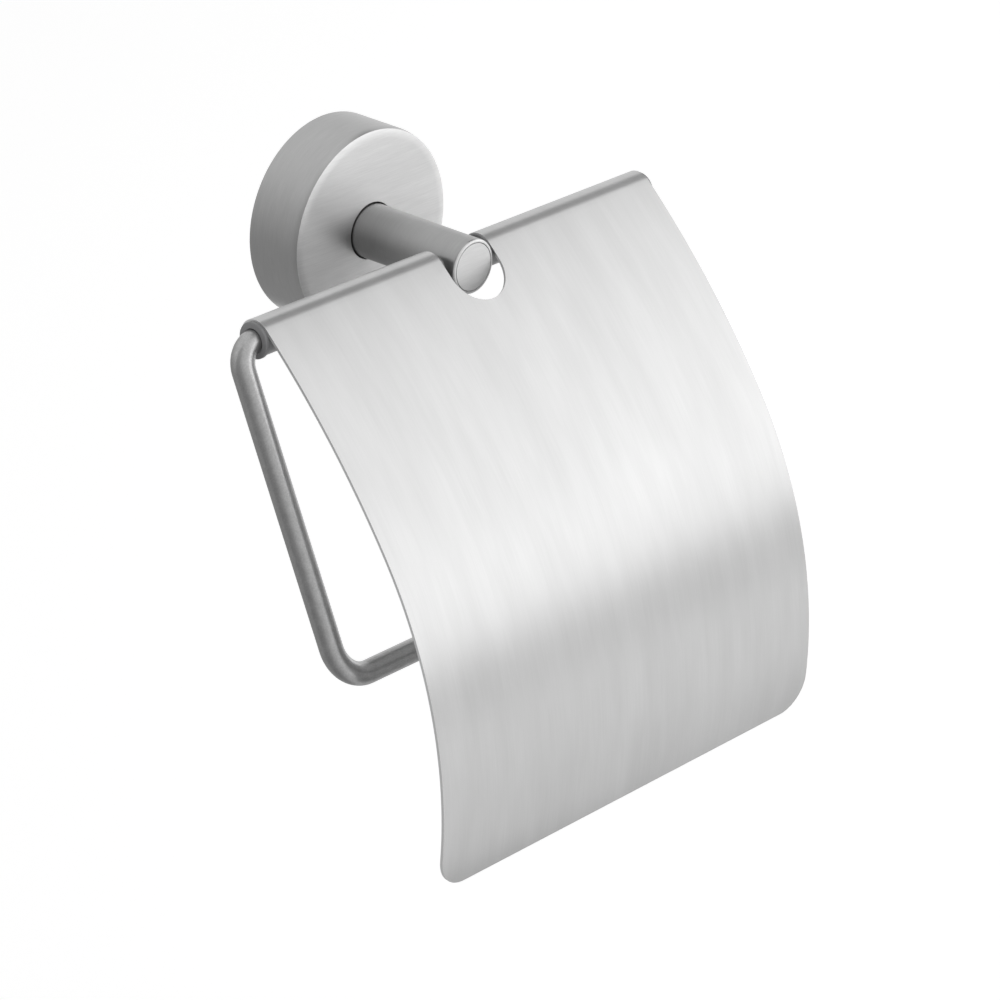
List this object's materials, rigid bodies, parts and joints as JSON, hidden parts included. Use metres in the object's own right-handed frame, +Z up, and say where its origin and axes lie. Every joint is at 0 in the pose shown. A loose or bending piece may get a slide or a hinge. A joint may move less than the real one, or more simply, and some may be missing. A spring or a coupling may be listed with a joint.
{
  "type": "toilet paper holder with cover",
  "caption": "Wall-mounted toilet paper holder: a round post carries a bent rod that is open at the right, and a curved sheet cover hinged on the rod swings down over the roll.",
  "frame": {"origin": "on the wall plane, midway between the two wall screw holes and on the post's axis", "axes": "+X to the right as seen by a person who faces the wall, -Y out of the wall towards that person, +Z up; the wall is the plane y = 0"},
  "size_m": [0.1495, 0.1092, 0.1557],
  "materials": {
    "satin_steel": "satin stainless steel, fine brush strokes in one direction",
    "sheet_steel": "satin stainless sheet, brushed from the hinge to the lower edge",
    "ground_steel": "matt ground stainless bar",
    "plate_steel": "plain turned steel, out of sight",
    "screw_steel": "plain screw steel",
    "bush_plastic": "smooth grey bearing plastic"
  },
  "bodies": {
    "holder": {"wall_plate": "plate_steel", "post_screw": "screw_steel", "post_lock_washer": "screw_steel", "rosette": "satin_steel", "rosette_grub_screw": "screw_steel", "post": "ground_steel", "end_cap": "satin_steel", "rod_grub_screw": "screw_steel", "roll_rod": "ground_steel"},
    "cover": {"cover": "sheet_steel", "outer_bush_left": "bush_plastic", "outer_bush_right": "bush_plastic", "inner_bush_left": "bush_plastic", "inner_bush_right": "bush_plastic"}
  },
  "joints": [
    {"name": "cover_lift", "type": "hinge", "parent": "holder", "child": "cover", "pos_m": [0, -0.0466, 0], "axis": [-1, 0, 0], "range_deg": [-12.5, 170]}
  ]
}
